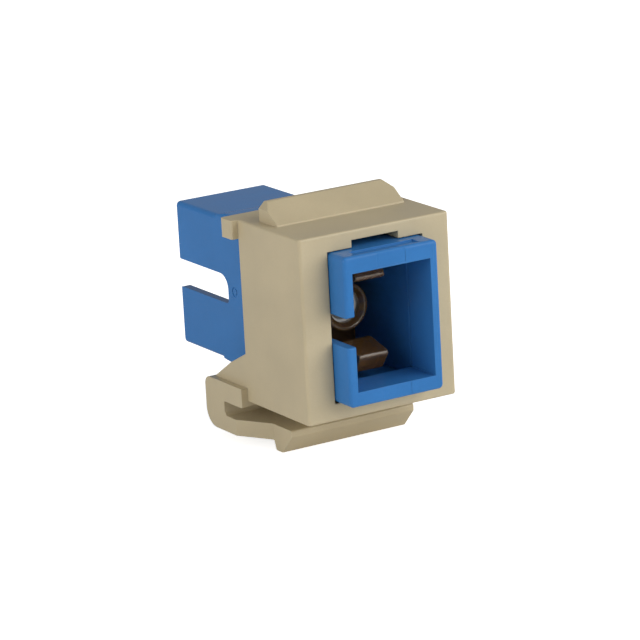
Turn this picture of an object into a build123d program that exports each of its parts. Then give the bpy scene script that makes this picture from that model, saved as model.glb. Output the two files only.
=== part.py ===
from build123d import *
import os

# Snap-in fibre coupler module, sizes in millimetres. A blue push-pull adapter for two
# fibre plugs sits in an almond snap-in frame. The origin is the point on the fibre axis
# where the two ferrule tips meet. +X is right seen from the front, +Y runs back through
# the panel and +Z is up.

# Adapter body
BODY_LENGTH = 27.95
BODY_WIDTH = 9.22
BODY_HEIGHT = 12.9
BODY_LONG_ROUND = 0.4
BODY_END_ROUND = 0.28
MOUTH_WIDTH = 7.67
MOUTH_HEIGHT = 10.15
MOUTH_DROP = 0.1
COVER_THICK = 0.42
LIP_DEPTH = 3.65
THIN_WALL = 0.5
LOADING_BAY_LEFT = 1.6
COVER_PAD_STEP = 0.03
KEY_SLOT_WIDTH = 2.54
KEY_SLOT_DEPTH = 8.5
KEY_SLOT_FRONT_ROUND = 0.15
KEY_SLOT_REAR_ROUND = 0.4
KEY_SLOT_SMALL_ROUND = 0.4
KEY_SLOT_LARGE_ROUND = 1.25
BAND_LENGTH = 11.5
BAND_STEP = 0.27
BAND_RAMP = 1.2
RIM_STRIP_WIDTH = 2.84
RIM_STRIP_DEPTH = 0.03
TOP_PANEL_WIDTH = 6.3
TOP_PANEL_SETBACK = 0.42
TOP_PANEL_LENGTH = 1.1
TOP_PANEL_DEPTH = 0.16
GATE_MARK_SETBACK = 9.64
GATE_MARK_RADIUS = 0.45
GATE_MARK_RING = 0.16
GATE_MARK_DEPTH = 0.06

# Latch inserts, one for each end, back to back in the middle of the body
FLANGE_THICK = 1.5
FLANGE_IN_WALL = 0.3
FLANGE_ROUND = 0.3
BARREL_RADIUS = 2.08
BARREL_SETBACK = 7.43
BARREL_EDGE = 0.12
BARREL_LEAD_IN = 0.36
FERRULE_CLEARANCE = 0.2
ARM_WIDTH = 2.9
ARM_THICK = 0.8
ARM_TO_MOUTH = 0.08
ARM_SETBACK = 3.45
HOOK_GAP = 5.08
HOOK_CREST = 0.45
HOOK_RAMP_LENGTH = 2.55
HOOK_RAMP_RISE = 0.65
HOOK_BACK_SLOPE = 0.3
HOOK_NOSE_HEIGHT = 0.35
HOOK_NOSE_SLOPE = 1.0
HOOK_NOSE_ROUND = 0.3
HOOK_EDGE = 0.14

# Split alignment sleeve
FERRULE_RADIUS = 1.248
SLEEVE_WALL = 0.352
SLEEVE_LENGTH = 11.4
SLEEVE_SLIT = 0.4

# Snap-in frame
FRAME_WIDTH = 14.7
FRAME_HEIGHT = 16.0
FRAME_DEPTH = 9.9
COLLAR_STAND_OUT = 2.4
FRAME_CORNER_ROUND = 0.28
FRAME_EDGE_ROUND = 0.18
SIDE_WALL = 1.3
FRONT_PLATE = 1.8
RIB_THICK = 1.2
RIB_SPREAD = 6.8
NOTCH_WIDTH = 4.6
NOTCH_HEIGHT = 0.62
STOP_BAR_DEPTH = 1.75
STOP_BAR_HEIGHT = 1.65
STOP_STAND_OUT = 0.65
GUSSET_TOP = 4.25
GUSSET_KNEE_DEPTH = 2.65
GUSSET_KNEE_HEIGHT = 2.96
LUG_WIDTH = 12.6
LUG_HEIGHT = 1.7
LUG_SETBACK = 5.15
LUG_RAMP_LENGTH = 2.4
LUG_CREST = 0.5
LUG_TOE = 0.12
LUG_CORNER = 0.6

# Spring latch moulded in one with the frame
LATCH_WIDTH = 16.0
ROOT_THICK = 1.7
BEND_SETBACK = 16.1
BEND_WALL = 3.13
BEND_TOP_ROUND = 0.8
BEND_ROUND = 1.6
LATCH_GAP = 1.27
LATCH_GAP_ROUND = 0.45
LATCH_THICK = 1.42
LATCH_TAPER_START = 4.95
LATCH_TAPER_LENGTH = 3.2
LATCH_TIP_WIDTH = 12.3
LATCH_TIP_SETBACK = 5.0
LATCH_FACE_HEIGHT = 0.6
CATCH_DROP = 0.85
CATCH_REAR_LEAN = 0.3
CATCH_TIP = 1.05
CATCH_LENGTH = 2.95

# Clearances
BODY_IN_FRAME = 0.08
BAND_IN_FRAME = 0.05
BODY_BESIDE_RIB = 0.08
FLANGE_CLEARANCE = 0.04
PAD_CLEARANCE = 0.05
SLEEVE_CLEARANCE = 0.05
CUT = 1.0

# Places that follow from the sizes
body_end = BODY_LENGTH / 2
body_top = BODY_HEIGHT / 2
body_side = BODY_WIDTH / 2
mouth_side = MOUTH_WIDTH / 2
mouth_top = MOUTH_HEIGHT / 2
seam = body_side - COVER_THICK
bay_end = body_end - LIP_DEPTH
bay_top = body_top - THIN_WALL
pad_face = mouth_side - COVER_PAD_STEP
band_top = body_top + BAND_STEP
sleeve_radius = FERRULE_RADIUS + SLEEVE_WALL
frame_front = COLLAR_STAND_OUT - body_end
frame_rear = frame_front + FRAME_DEPTH
frame_side = FRAME_WIDTH / 2
frame_top = FRAME_HEIGHT / 2
opening_side = body_side + BODY_BESIDE_RIB
opening_top = body_top + BODY_IN_FRAME
band_seat = band_top + BAND_IN_FRAME
latch_side = LATCH_WIDTH / 2
bend_rear = frame_front + BEND_SETBACK


def block(x, y, z):
    """A box between two limits on each axis."""
    size = (x[1] - x[0], y[1] - y[0], z[1] - z[0])
    centre = ((x[0] + x[1]) / 2, (y[0] + y[1]) / 2, (z[0] + z[1]) / 2)
    return Pos(*centre) * Box(*size)


def rounded_outline(corners):
    """A face whose corners are (u, v, radius)."""
    points = [(u, v) for u, v, radius in corners]
    radii = [radius for u, v, radius in corners]
    return make_face(FilletPolyline(*points, radius=radii, close=True))


def side_profile(corners, x):
    """A (y, z, radius) outline drawn from the side, extruded between two x limits."""
    return Pos(x[0], 0, 0) * extrude(Plane.YZ * rounded_outline(corners), x[1] - x[0])


def front_profile(corners, y):
    """An (x, z, radius) outline drawn from the back, extruded between two y limits."""
    face = Plane.XZ * rounded_outline(corners)
    return Pos(0, y[1], 0) * extrude(face, y[1] - y[0])


def plan_profile(corners, z):
    """An (x, y, radius) outline drawn from above, extruded between two z limits."""
    return Pos(0, 0, z[0]) * extrude(rounded_outline(corners), z[1] - z[0])


def tube_along_y(radius, y):
    """A round bar on the fibre axis."""
    disc = Plane.XZ * Circle(radius)
    return Pos(0, y[1], 0) * extrude(disc, y[1] - y[0])


def body_envelope():
    """Outside of the adapter body and its cover together, with the raised middle band."""
    section = Plane.XZ * RectangleRounded(BODY_WIDTH, BODY_HEIGHT, BODY_LONG_ROUND)
    outside = Pos(0, body_end, 0) * extrude(section, BODY_LENGTH)
    ends = outside.faces().filter_by(Axis.Y).edges()
    outside = fillet(ends, BODY_END_ROUND)
    band_end = BAND_LENGTH / 2
    band_height = BODY_HEIGHT + 2 * BAND_STEP
    band_section = Plane.XZ * RectangleRounded(BODY_WIDTH, band_height, BODY_LONG_ROUND)
    band = Pos(0, band_end + BAND_RAMP, 0) * extrude(band_section, BAND_LENGTH + 2 * BAND_RAMP)
    band &= side_profile(
        [
            (-band_end - BAND_RAMP, -body_top, 0),
            (-band_end, -band_top, BAND_RAMP),
            (band_end, -band_top, BAND_RAMP),
            (band_end + BAND_RAMP, -body_top, 0),
            (band_end + BAND_RAMP, body_top, 0),
            (band_end, band_top, BAND_RAMP),
            (-band_end, band_top, BAND_RAMP),
            (-band_end - BAND_RAMP, body_top, 0),
        ],
        (-body_side - CUT, body_side + CUT),
    )
    return outside + band


def key_slot(end, mouth_round):
    """Cutter for the open-ended key slot in the left wall, at the front (-1) or back (1)."""
    half = KEY_SLOT_WIDTH / 2
    mouth = end * body_end
    flare = half + 2 * mouth_round
    outside = end * (body_end + CUT)
    bottom = end * (body_end - KEY_SLOT_DEPTH)
    corners = [
        (outside, -flare, 0),
        (mouth, -flare, 0),
        (mouth, -half, mouth_round),
        (bottom, -half, KEY_SLOT_SMALL_ROUND),
        (bottom, half, KEY_SLOT_LARGE_ROUND),
        (mouth, half, mouth_round),
        (mouth, flare, 0),
        (outside, flare, 0),
    ]
    return side_profile(corners, (-body_side - CUT, -mouth_side + CUT))


def body_hollow():
    """Everything cut out of the adapter body: sockets, loading bay and flange groove."""
    socket = block(
        (-mouth_side, mouth_side),
        (-body_end - CUT, body_end + CUT),
        (-mouth_top - MOUTH_DROP, mouth_top - MOUTH_DROP),
    )
    bay = block((-LOADING_BAY_LEFT, seam + CUT), (-bay_end, bay_end), (-bay_top, bay_top))
    groove_half = FLANGE_THICK + FLANGE_CLEARANCE
    groove = block(
        (-mouth_side - FLANGE_IN_WALL - FLANGE_CLEARANCE, seam),
        (-groove_half, groove_half),
        (-bay_top, bay_top),
    )
    return socket + bay + groove


def rim_details():
    """Shallow moulded marks: the middle strips of the front rim, the panel, the gate."""
    half_strip = RIM_STRIP_WIDTH / 2
    strips = [
        block(
            (-half_strip, half_strip),
            (-body_end - CUT, -body_end + RIM_STRIP_DEPTH),
            (low, low + (BODY_HEIGHT - MOUTH_HEIGHT) / 2),
        )
        for low in (mouth_top, -body_top)
    ]
    panel_front = -body_end + TOP_PANEL_SETBACK
    panel = block(
        (-TOP_PANEL_WIDTH / 2, TOP_PANEL_WIDTH / 2),
        (panel_front, panel_front + TOP_PANEL_LENGTH),
        (body_top - TOP_PANEL_DEPTH, body_top + CUT),
    )
    gate_face = Plane.YZ * (Circle(GATE_MARK_RADIUS) - Circle(GATE_MARK_RADIUS - GATE_MARK_RING))
    gate = extrude(gate_face, GATE_MARK_DEPTH)
    gate = Pos(-body_side, body_end - GATE_MARK_SETBACK, 0) * gate
    return [*strips, panel, gate]


def adapter_body():
    """The one-piece blue moulding with both sockets, open at its right side."""
    body = body_envelope() - body_hollow()
    body -= block(
        (seam, body_side + CUT), (-body_end - CUT, body_end + CUT), (-band_top - CUT, band_top + CUT)
    )
    body -= key_slot(-1, KEY_SLOT_FRONT_ROUND)
    body -= key_slot(1, KEY_SLOT_REAR_ROUND)
    for mark in rim_details():
        body -= mark
    return body


def side_cover():
    """The thin welded cover over the loading bay, with the pad that fills the bay's side."""
    cover = body_envelope() & block(
        (seam, body_side + CUT), (-body_end - CUT, body_end + CUT), (-band_top - CUT, band_top + CUT)
    )
    pad_end = bay_end - PAD_CLEARANCE
    pad_top = bay_top - PAD_CLEARANCE
    return cover + block((pad_face, seam), (-pad_end, pad_end), (-pad_top, pad_top))


def latch_arm():
    """The upper latch arm of the front insert, with its hook turned towards the axis."""
    outer = mouth_top - MOUTH_DROP - ARM_TO_MOUTH
    inner = outer - ARM_THICK
    nose = -body_end + ARM_SETBACK
    crest = HOOK_GAP / 2
    nose_low = crest + HOOK_RAMP_RISE
    crest_front = nose + HOOK_RAMP_LENGTH
    crest_rear = crest_front + HOOK_CREST
    arm = side_profile(
        [
            (-FLANGE_THICK, outer, 0),
            (-FLANGE_THICK, inner, 0),
            (crest_rear + HOOK_BACK_SLOPE, inner, HOOK_NOSE_ROUND),
            (crest_rear, crest, HOOK_EDGE),
            (crest_front, crest, HOOK_NOSE_ROUND),
            (nose, nose_low, HOOK_NOSE_ROUND),
            (nose, nose_low + HOOK_NOSE_HEIGHT, HOOK_EDGE),
            (nose + HOOK_NOSE_SLOPE, outer, HOOK_EDGE),
        ],
        (-ARM_WIDTH / 2, ARM_WIDTH / 2),
    )
    outline = [edge for face in arm.faces().filter_by(Axis.X) for edge in face.edges()]
    hook_outline = [edge for edge in outline if edge.center().Y < crest_rear]
    return chamfer(hook_outline, HOOK_EDGE / 2)


def front_insert():
    """The amber insert: flange, sleeve barrel and two latch arms in one moulding."""
    flange_top = bay_top - FLANGE_CLEARANCE
    left = -mouth_side - FLANGE_IN_WALL
    right = pad_face - FLANGE_CLEARANCE
    flange = front_profile(
        [
            (left, -flange_top, FLANGE_ROUND),
            (right, -flange_top, FLANGE_ROUND),
            (right, flange_top, FLANGE_ROUND),
            (left, flange_top, FLANGE_ROUND),
        ],
        (-FLANGE_THICK, 0),
    )
    barrel_end = -body_end + BARREL_SETBACK
    barrel = tube_along_y(BARREL_RADIUS, (barrel_end, 0))
    rim = barrel.faces().sort_by(Axis.Y)[0].edges()
    barrel = fillet(rim, BARREL_EDGE)
    upper = latch_arm()
    lower = mirror(upper, Plane.XY)
    insert = flange + barrel + upper + lower
    seat_end = -SLEEVE_LENGTH / 2 - SLEEVE_CLEARANCE
    insert -= tube_along_y(sleeve_radius + SLEEVE_CLEARANCE, (seat_end, CUT))
    mouth_radius = FERRULE_RADIUS + FERRULE_CLEARANCE
    insert -= tube_along_y(mouth_radius, (barrel_end - CUT, 0))
    lead_in = Cone(
        bottom_radius=mouth_radius,
        top_radius=mouth_radius + BARREL_LEAD_IN,
        height=BARREL_LEAD_IN,
        align=(Align.CENTER, Align.CENTER, Align.MAX),
    )
    return insert - Pos(0, barrel_end, 0) * Rot(90, 0, 0) * lead_in


def alignment_sleeve():
    """The split sleeve that lines up the two ferrules."""
    ends = (-SLEEVE_LENGTH / 2, SLEEVE_LENGTH / 2)
    sleeve = tube_along_y(sleeve_radius, ends) - tube_along_y(FERRULE_RADIUS, ends)
    slit = block((-SLEEVE_SLIT / 2, SLEEVE_SLIT / 2), ends, (0, sleeve_radius + CUT))
    return sleeve - slit


def frame_box():
    """The rectangular tube of the frame, with its front edges rounded."""
    box = block((-frame_side, frame_side), (frame_front, frame_rear), (-frame_top, frame_top))
    uprights = box.edges().filter_by(Axis.Z).group_by(Axis.Y)[0]
    box = fillet(uprights, FRAME_CORNER_ROUND)
    level = box.faces().filter_by(Axis.Z).edges()
    outline = [edge for edge in level if edge.center().Y < frame_rear - FRAME_EDGE_ROUND]
    return fillet(outline, FRAME_EDGE_ROUND)


def frame_hollow():
    """The opening for the adapter, its band seat, the side bays and the top notch."""
    opening = block(
        (-opening_side, opening_side), (frame_front - CUT, bend_rear + CUT), (-opening_top, opening_top)
    )
    seat_front = -BAND_LENGTH / 2 - BAND_RAMP - BAND_IN_FRAME
    seat = block((-opening_side, opening_side), (seat_front, bend_rear + CUT), (-band_seat, band_seat))
    side_bay = frame_side - SIDE_WALL
    bays = block(
        (-side_bay, side_bay), (frame_front + FRONT_PLATE, bend_rear + CUT), (-opening_top, opening_top)
    )
    notch = block(
        (-NOTCH_WIDTH / 2, NOTCH_WIDTH / 2),
        (frame_front - CUT, seat_front + CUT),
        (0, opening_top + NOTCH_HEIGHT),
    )
    return opening + seat + bays + notch


def side_ribs():
    """Ribs inside the side walls that hold the adapter in the middle."""
    rib_front = frame_front + FRONT_PLATE - CUT
    rib_rear = frame_rear - RIB_THICK
    ribs = []
    for side in (-1, 1):
        for height in (-RIB_SPREAD / 2, RIB_SPREAD / 2):
            x = sorted((side * opening_side, side * (frame_side - SIDE_WALL / 2)))
            z = (height - RIB_THICK / 2, height + RIB_THICK / 2)
            ribs.append(block(x, (rib_front, rib_rear), z))
    return ribs


def stop_bar():
    """The bar behind the top edge, whose ends stand proud of the sides as panel stops."""
    side = frame_side + STOP_STAND_OUT
    bar = block(
        (-side, side), (frame_rear, frame_rear + STOP_BAR_DEPTH), (frame_top - STOP_BAR_HEIGHT, frame_top)
    )
    return fillet(bar.edges().filter_by(Axis.Z), FRAME_EDGE_ROUND)


def gussets():
    """The sloping feet of the side walls that carry the spring latch's root."""
    foot = -band_seat - ROOT_THICK / 2
    knee = frame_rear + GUSSET_KNEE_DEPTH
    corners = [
        (frame_rear - SIDE_WALL, -frame_top + GUSSET_TOP, 0),
        (frame_rear, -frame_top + GUSSET_TOP, 0),
        (knee, -frame_top + GUSSET_KNEE_HEIGHT, 0),
        (bend_rear - BEND_TOP_ROUND, -band_seat, 0),
        (bend_rear - BEND_TOP_ROUND, foot, 0),
        (frame_rear - SIDE_WALL, foot, 0),
    ]
    walls = []
    for side in (-1, 1):
        x = sorted((side * frame_side, side * (frame_side - SIDE_WALL)))
        walls.append(side_profile(corners, x))
    return walls


def panel_lug():
    """The fixed wedge on top that hooks behind the panel's upper edge."""
    toe = frame_front + LUG_SETBACK
    crest = toe + LUG_RAMP_LENGTH
    heel = crest + LUG_CREST
    top = frame_top + LUG_HEIGHT
    half = LUG_WIDTH / 2
    wedge = side_profile(
        [
            (toe, frame_top - LUG_TOE, 0),
            (toe, frame_top + LUG_TOE, LUG_TOE / 2),
            (crest, top, LUG_TOE),
            (heel, top, LUG_TOE),
            (heel, frame_top - LUG_TOE, 0),
        ],
        (-half, half),
    )
    wedge &= front_profile(
        [
            (-half, frame_top - CUT, 0),
            (-half, top - LUG_CORNER, 0),
            (-half + LUG_CORNER, top, 0),
            (half - LUG_CORNER, top, 0),
            (half, top - LUG_CORNER, 0),
            (half, frame_top - CUT, 0),
        ],
        (toe - CUT, heel + CUT),
    )
    return wedge


def spring_latch():
    """Root plate, U-bend and spring arm with its catch, all one section bent round."""
    root_top = -band_seat
    root_low = root_top - ROOT_THICK
    arm_top = root_low - LATCH_GAP
    arm_low = arm_top - LATCH_THICK
    gap_end = bend_rear - BEND_WALL
    tip = frame_front + LATCH_TIP_SETBACK
    face_low = arm_top - LATCH_FACE_HEIGHT
    catch_low = arm_low - CATCH_DROP
    catch_rear = tip + CATCH_LENGTH
    latch = side_profile(
        [
            (frame_rear, root_top, 0),
            (bend_rear, root_top, BEND_TOP_ROUND),
            (bend_rear, arm_low, BEND_ROUND),
            (catch_rear, arm_low, FRAME_EDGE_ROUND),
            (catch_rear - CATCH_REAR_LEAN, catch_low, FRAME_EDGE_ROUND),
            (catch_rear - CATCH_REAR_LEAN - CATCH_TIP, catch_low, FRAME_EDGE_ROUND),
            (tip, face_low, FRAME_EDGE_ROUND),
            (tip, arm_top, FRAME_EDGE_ROUND),
            (gap_end, arm_top, LATCH_GAP_ROUND),
            (gap_end, root_low, FRAME_EDGE_ROUND),
            (frame_rear, root_low, FRAME_EDGE_ROUND),
        ],
        (-latch_side, latch_side),
    )
    taper_start = bend_rear - LATCH_TAPER_START
    taper_end = taper_start - LATCH_TAPER_LENGTH
    tip_side = LATCH_TIP_WIDTH / 2
    for side in (-1, 1):
        latch -= plan_profile(
            [
                (side * latch_side, taper_start, 0),
                (side * tip_side, taper_end, 0),
                (side * tip_side, tip - CUT, 0),
                (side * (latch_side + CUT), tip - CUT, 0),
                (side * (latch_side + CUT), taper_start, 0),
            ],
            (catch_low - CUT, root_low - LATCH_GAP / 2),
        )
    return latch


def snap_in_frame():
    """The almond frame, latch and lug, moulded as one piece."""
    frame = frame_box() + stop_bar() + spring_latch() + panel_lug()
    for wall in gussets():
        frame += wall
    frame -= frame_hollow()
    for rib in side_ribs():
        frame += rib
    return frame


def main():
    insert = front_insert()
    nodes = {
        "snap_in_frame": snap_in_frame(),
        "adapter_body": adapter_body(),
        "adapter_side_cover": side_cover(),
        "front_latch_insert": insert,
        "rear_latch_insert": Rot(180, 0, 0) * insert,
        "alignment_sleeve": alignment_sleeve(),
    }
    os.makedirs("parts", exist_ok=True)
    for name, solid in nodes.items():
        export_step(solid, f"parts/{name}.step")


main()
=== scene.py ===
import math

import bpy
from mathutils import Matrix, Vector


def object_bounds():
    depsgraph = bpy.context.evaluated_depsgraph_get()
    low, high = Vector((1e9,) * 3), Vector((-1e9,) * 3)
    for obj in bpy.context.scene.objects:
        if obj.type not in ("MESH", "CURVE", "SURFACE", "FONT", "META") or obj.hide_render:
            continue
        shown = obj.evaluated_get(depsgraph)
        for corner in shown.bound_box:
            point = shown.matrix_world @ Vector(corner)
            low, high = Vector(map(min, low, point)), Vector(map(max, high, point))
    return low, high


# Fibre coupler module in its snap-in frame: plastics, lamps, floor and camera. The pieces come
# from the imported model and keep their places. Lengths are in metres, texture sizes in
# millimetres and colours are linear.

# Camera
CAMERA_PLACE = (-0.15931, -0.268665, 0.08187)
CAMERA_TURN = (74.857, 3.054, -31.681)
CAMERA_LENS = 211.15
CAMERA_SENSOR = 36.0

# Lamps
LAMP_DISTANCE = 0.8
LEFT_DIRECTION = (-0.98, -0.06, 0.14)
LEFT_SIZE = 0.7
LEFT_POWER = 4.1
RIGHT_DIRECTION = (0.55, -0.8, 0.24)
RIGHT_SIZE = 1.0
RIGHT_POWER = 8.2

# Surroundings and floor
WHITE = (1.0, 1.0, 1.0, 1.0)
SKY_LIGHT = 0.27
REFLECTED_LIGHT = 0.08
FLOOR_SIZE = 4.0
FLOOR_COLOUR = (0.95, 0.95, 0.95, 1.0)
FLOOR_LIFT = 0.75

# Colours of each material, of the painted highlight along its sharp edges and of the specks in
# it
ALMOND = (0.56, 0.47, 0.30)
ALMOND_HIGHLIGHT = (0.78, 0.70, 0.52)
ALMOND_SPECK = (0.20, 0.15, 0.09)
BLUE = (0.041, 0.196, 0.505)
BLUE_HIGHLIGHT = (0.10, 0.34, 0.72)
BLUE_SPECK = (0.04, 0.20, 0.46)
AMBER = (0.30, 0.155, 0.052)
AMBER_HIGHLIGHT = (0.75, 0.58, 0.28)
AMBER_SPECK = (0.03, 0.015, 0.01)
CERAMIC = (0.75, 0.73, 0.66)
CERAMIC_SPECK = (0.7, 0.68, 0.6)

# Sizes and stretch of the texture
MILLIMETRES_IN_METRE = 1000.0
CLOUD_SIZE = 5.0
CLOUD_DETAIL = 3.0
GRAIN_DETAIL = 5.0
FLOW_SIZE = 1.2
FLOW_STRETCH = (0.25, 1.0, 0.25)
FLOW_DETAIL = 4.0
SPECK_SPACING = 1.6
SPECK_SIZE = 0.07
SPECK_CORE = 0.3
UNSTRETCHED = (1.0, 1.0, 1.0)

# The part of the noise's range that is spread out to full
NOISE_LOW = 0.3
NOISE_HIGH = 0.7

# Shades of the clouding and the grain, as shares of a material's colour
CLOUD_DARK = 0.93
CLOUD_LIGHT = 1.04
GRAIN_DARK = 0.8
GRAIN_SHARE = 0.16
GRAIN_STRENGTH = 0.6

# How far the roughness wanders below and above its middle
SMOOTHER = 0.03
ROUGHER = 0.04

# Cosines between the real and the rounded surface where an edge starts and where it is full
EDGE_SAMPLES = 6
EDGE_START = 0.995
EDGE_FULL = 0.8
# Smallest share of the painted edge highlight, as a part of its full strength
LEAST_EDGE_HIGHLIGHT = 0.2


def node_tree(name):
    """A new material with its nodes, links and main shader."""
    material = bpy.data.materials.new(name)
    material.use_nodes = True
    nodes = material.node_tree.nodes
    return material, nodes, material.node_tree.links, nodes["Principled BSDF"]


def scaled_place(nodes, links, stretch):
    """Object coordinates in millimetres, stretched on each axis."""
    coordinates = nodes.new("ShaderNodeTexCoord")
    mapping = nodes.new("ShaderNodeMapping")
    mapping.inputs["Scale"].default_value = [MILLIMETRES_IN_METRE * value for value in stretch]
    links.new(coordinates.outputs["Object"], mapping.inputs["Vector"])
    return mapping.outputs["Vector"]


def noise(nodes, links, size, detail, stretch=UNSTRETCHED):
    """Noise whose blotches are about size millimetres across."""
    texture = nodes.new("ShaderNodeTexNoise")
    texture.inputs["Scale"].default_value = 1.0 / size
    texture.inputs["Detail"].default_value = detail
    links.new(scaled_place(nodes, links, stretch), texture.inputs["Vector"])
    return texture.outputs["Fac"]


def spread(nodes, links, value, low, high):
    """Noise around its middle turned into a range from low to high."""
    remap = nodes.new("ShaderNodeMapRange")
    remap.inputs["From Min"].default_value = NOISE_LOW
    remap.inputs["From Max"].default_value = NOISE_HIGH
    remap.inputs["To Min"].default_value = low
    remap.inputs["To Max"].default_value = high
    links.new(value, remap.inputs["Value"])
    return remap.outputs["Result"]


def combined(nodes, links, operation, first, second):
    """Two factors put together by a math operation; the second may be a plain number."""
    result = nodes.new("ShaderNodeMath")
    result.operation = operation
    links.new(first, result.inputs[0])
    if isinstance(second, float):
        result.inputs[1].default_value = second
    else:
        links.new(second, result.inputs[1])
    return result.outputs["Value"]


def edge_mask(nodes, links, width):
    """One along sharp edges, falling to zero on the flats, and the rounded surface direction."""
    rounded = nodes.new("ShaderNodeBevel")
    rounded.samples = EDGE_SAMPLES
    rounded.inputs["Radius"].default_value = width
    geometry = nodes.new("ShaderNodeNewGeometry")
    agreement = nodes.new("ShaderNodeVectorMath")
    agreement.operation = "DOT_PRODUCT"
    links.new(rounded.outputs["Normal"], agreement.inputs[0])
    links.new(geometry.outputs["Normal"], agreement.inputs[1])
    remap = nodes.new("ShaderNodeMapRange")
    remap.inputs["From Min"].default_value = EDGE_START
    remap.inputs["From Max"].default_value = EDGE_FULL
    links.new(agreement.outputs["Value"], remap.inputs["Value"])
    return remap.outputs["Result"], rounded.outputs["Normal"]


def specks(nodes, links):
    """Sparse tiny inclusions in the resin, each of its own strength."""
    cells = nodes.new("ShaderNodeTexVoronoi")
    cells.inputs["Scale"].default_value = 1.0 / SPECK_SPACING
    links.new(scaled_place(nodes, links, UNSTRETCHED), cells.inputs["Vector"])
    spot = nodes.new("ShaderNodeMapRange")
    spot.inputs["From Min"].default_value = SPECK_SIZE / SPECK_SPACING
    spot.inputs["From Max"].default_value = SPECK_CORE * SPECK_SIZE / SPECK_SPACING
    links.new(cells.outputs["Distance"], spot.inputs["Value"])
    return combined(nodes, links, "MULTIPLY", spot.outputs["Result"], cells.outputs["Color"])


def tinted(nodes, links, colour, factor, other):
    """The colour, or an incoming colour, mixed towards another by a factor."""
    mix = nodes.new("ShaderNodeMix")
    mix.data_type = "RGBA"
    if isinstance(colour, tuple):
        mix.inputs["A"].default_value = (*colour, 1.0)
    else:
        links.new(colour, mix.inputs["A"])
    mix.inputs["B"].default_value = (*other, 1.0)
    links.new(factor, mix.inputs["Factor"])
    return mix.outputs["Result"]


def shade(colour, amount):
    """The same colour made lighter or darker."""
    return tuple(min(1.0, channel * amount) for channel in colour)


def moulded_material(
    name,
    colour,
    highlight_colour,
    speck_colour,
    edge_width,
    roughness,
    grain_size,
    grain_depth,
    speck_share,
    edge_highlight,
):
    """Moulded resin: clouding, fine tool grain, inclusions and a painted highlight along sharp
    edges.
    """
    material, nodes, links, shader = node_tree(name)
    clouds = spread(nodes, links, noise(nodes, links, CLOUD_SIZE, CLOUD_DETAIL), 0.0, 1.0)
    fine = noise(nodes, links, grain_size, GRAIN_DETAIL)
    flow = noise(nodes, links, FLOW_SIZE, FLOW_DETAIL, FLOW_STRETCH)
    edges, rounded_normal = edge_mask(nodes, links, edge_width)

    base = tinted(nodes, links, shade(colour, CLOUD_DARK), clouds, shade(colour, CLOUD_LIGHT))
    grain = spread(nodes, links, fine, 0.0, GRAIN_SHARE)
    base = tinted(nodes, links, base, grain, shade(colour, GRAIN_DARK))
    share = spread(nodes, links, flow, 0.0, speck_share)
    marks = combined(nodes, links, "MULTIPLY", specks(nodes, links), share)
    base = tinted(nodes, links, base, marks, speck_colour)
    # Painted highlight: sharp edges are lightened towards the highlight colour, by an amount
    # that wanders with the flow noise
    highlight_amount = spread(nodes, links, flow, LEAST_EDGE_HIGHLIGHT * edge_highlight, edge_highlight)
    painted_highlight = combined(nodes, links, "MULTIPLY", edges, highlight_amount)
    base = tinted(nodes, links, base, painted_highlight, highlight_colour)
    links.new(base, shader.inputs["Base Color"])

    sheen = spread(nodes, links, clouds, roughness - SMOOTHER, roughness + ROUGHER)
    links.new(sheen, shader.inputs["Roughness"])
    bump = nodes.new("ShaderNodeBump")
    bump.inputs["Distance"].default_value = grain_depth
    bump.inputs["Strength"].default_value = GRAIN_STRENGTH
    links.new(fine, bump.inputs["Height"])
    links.new(rounded_normal, bump.inputs["Normal"])
    links.new(bump.outputs["Normal"], shader.inputs["Normal"])
    return material, shader


def almond_plastic():
    """Satin almond resin of the frame, faintly translucent."""
    material, shader = moulded_material(
        name="almond_resin",
        colour=ALMOND,
        highlight_colour=ALMOND_HIGHLIGHT,
        speck_colour=ALMOND_SPECK,
        edge_width=0.0001,
        roughness=0.40,
        grain_size=0.16,
        grain_depth=0.000006,
        speck_share=0.4,
        edge_highlight=0.5,
    )
    shader.inputs["Subsurface Weight"].default_value = 0.05
    shader.inputs["Subsurface Radius"].default_value = (0.0008, 0.0006, 0.0004)
    shader.inputs["Subsurface Scale"].default_value = 1.0
    return material


def blue_plastic():
    """Semi-gloss blue resin of the adapter and its cover."""
    material, shader = moulded_material(
        name="blue_resin",
        colour=BLUE,
        highlight_colour=BLUE_HIGHLIGHT,
        speck_colour=BLUE_SPECK,
        edge_width=0.00006,
        roughness=0.21,
        grain_size=0.22,
        grain_depth=0.000002,
        speck_share=0.1,
        edge_highlight=0.5,
    )
    shader.inputs["Specular IOR Level"].default_value = 0.16
    return material


def amber_plastic():
    """Glossy dark amber resin of the latch inserts, which lets some light through."""
    material, shader = moulded_material(
        name="amber_resin",
        colour=AMBER,
        highlight_colour=AMBER_HIGHLIGHT,
        speck_colour=AMBER_SPECK,
        edge_width=0.0002,
        roughness=0.16,
        grain_size=0.5,
        grain_depth=0.000002,
        speck_share=0.2,
        # Strong painted gold highlight along the amber's edges
        edge_highlight=2.0,
    )
    shader.inputs["IOR"].default_value = 1.66
    shader.inputs["Transmission Weight"].default_value = 0.7
    return material


def ceramic():
    """Polished white ceramic of the alignment sleeve."""
    material, shader = moulded_material(
        name="white_ceramic",
        colour=CERAMIC,
        highlight_colour=CERAMIC,
        speck_colour=CERAMIC_SPECK,
        edge_width=0.00006,
        roughness=0.12,
        grain_size=0.3,
        grain_depth=0.000001,
        speck_share=0.2,
        edge_highlight=0.1,
    )
    shader.inputs["IOR"].default_value = 2.1
    return material


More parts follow.
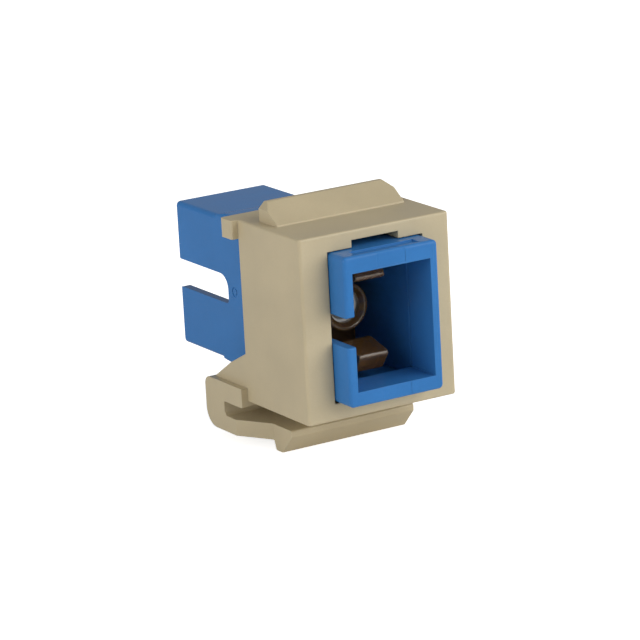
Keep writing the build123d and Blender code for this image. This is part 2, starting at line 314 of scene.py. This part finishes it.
def background_level(nodes, links, unseen, reflected):
    """The background's brightness: full where the camera sees it, less in reflections."""
    paths = nodes.new("ShaderNodeLightPath")
    rays = paths.outputs
    seen = combined(nodes, links, "MAXIMUM", rays["Is Camera Ray"], rays["Is Transmission Ray"])
    mirrored = combined(nodes, links, "MULTIPLY", rays["Is Glossy Ray"], reflected)
    total = combined(nodes, links, "MAXIMUM", seen, mirrored)
    level = nodes.new("ShaderNodeMapRange")
    level.inputs["To Min"].default_value = unseen
    level.inputs["To Max"].default_value = 1.0
    links.new(total, level.inputs["Value"])
    return level.outputs["Result"]


def light_surroundings():
    """White surroundings that light the object softly."""
    world = bpy.data.worlds.new("studio")
    bpy.context.scene.world = world
    world.use_nodes = True
    nodes = world.node_tree.nodes
    links = world.node_tree.links
    background = nodes["Background"]
    background.inputs["Color"].default_value = WHITE
    level = background_level(nodes, links, SKY_LIGHT, REFLECTED_LIGHT)
    links.new(level, background.inputs["Strength"])


def add_floor(height):
    """A pale floor that keeps the object's shadow and meets the white background."""
    bpy.ops.mesh.primitive_plane_add(size=FLOOR_SIZE, location=(0.0, 0.0, height))
    floor = bpy.context.object
    floor.name = "floor"
    material = bpy.data.materials.new("floor")
    material.use_nodes = True
    nodes = material.node_tree.nodes
    links = material.node_tree.links
    nodes.clear()
    diffuse = nodes.new("ShaderNodeBsdfDiffuse")
    diffuse.inputs["Color"].default_value = FLOOR_COLOUR
    glow = nodes.new("ShaderNodeEmission")
    level = background_level(nodes, links, 0.0, REFLECTED_LIGHT)
    lift = combined(nodes, links, "MULTIPLY", level, FLOOR_LIFT)
    links.new(lift, glow.inputs["Strength"])
    both = nodes.new("ShaderNodeAddShader")
    links.new(diffuse.outputs["BSDF"], both.inputs[0])
    links.new(glow.outputs["Emission"], both.inputs[1])
    output = nodes.new("ShaderNodeOutputMaterial")
    links.new(both.outputs["Shader"], output.inputs["Surface"])
    floor.data.materials.append(material)


def add_lamp(name, direction, distance, size, power):
    """A soft square lamp that faces the origin."""
    lamp = bpy.data.lights.new(name, "AREA")
    lamp.shape = "SQUARE"
    lamp.size = size
    lamp.energy = power
    holder = bpy.data.objects.new(name, lamp)
    bpy.context.scene.collection.objects.link(holder)
    holder.location = [distance * value for value in direction]
    x, y, z = direction
    tilt = math.atan2(math.hypot(x, y), z)
    turn = math.atan2(y, x) + math.pi / 2
    holder.rotation_euler = (tilt, 0.0, turn)


def add_camera():
    """The camera that sees the front, the left side and a little of the top."""
    camera = bpy.data.cameras.new("camera")
    camera.sensor_width = CAMERA_SENSOR
    camera.lens = CAMERA_LENS
    holder = bpy.data.objects.new("camera", camera)
    bpy.context.scene.collection.objects.link(holder)
    holder.location = CAMERA_PLACE
    holder.rotation_euler = [math.radians(angle) for angle in CAMERA_TURN]
    bpy.context.scene.camera = holder


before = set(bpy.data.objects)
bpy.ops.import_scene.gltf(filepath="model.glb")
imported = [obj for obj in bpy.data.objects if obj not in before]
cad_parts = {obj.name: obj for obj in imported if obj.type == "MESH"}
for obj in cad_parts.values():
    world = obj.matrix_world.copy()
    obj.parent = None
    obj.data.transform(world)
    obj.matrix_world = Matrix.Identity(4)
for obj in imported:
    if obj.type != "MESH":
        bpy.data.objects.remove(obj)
cad_low, cad_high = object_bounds()

finishes = {
    "snap_in_frame": almond_plastic(),
    "adapter_body": blue_plastic(),
    "front_latch_insert": amber_plastic(),
    "alignment_sleeve": ceramic(),
}
finishes["adapter_side_cover"] = finishes["adapter_body"]
finishes["rear_latch_insert"] = finishes["front_latch_insert"]
for name, material in finishes.items():
    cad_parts[name].material_slots[0].material = material

add_camera()
light_surroundings()
add_lamp("left", LEFT_DIRECTION, LAMP_DISTANCE, LEFT_SIZE, LEFT_POWER)
add_lamp("right", RIGHT_DIRECTION, LAMP_DISTANCE, RIGHT_SIZE, RIGHT_POWER)
add_floor(cad_low[2])
bpy.context.scene.view_settings.view_transform = "Standard"
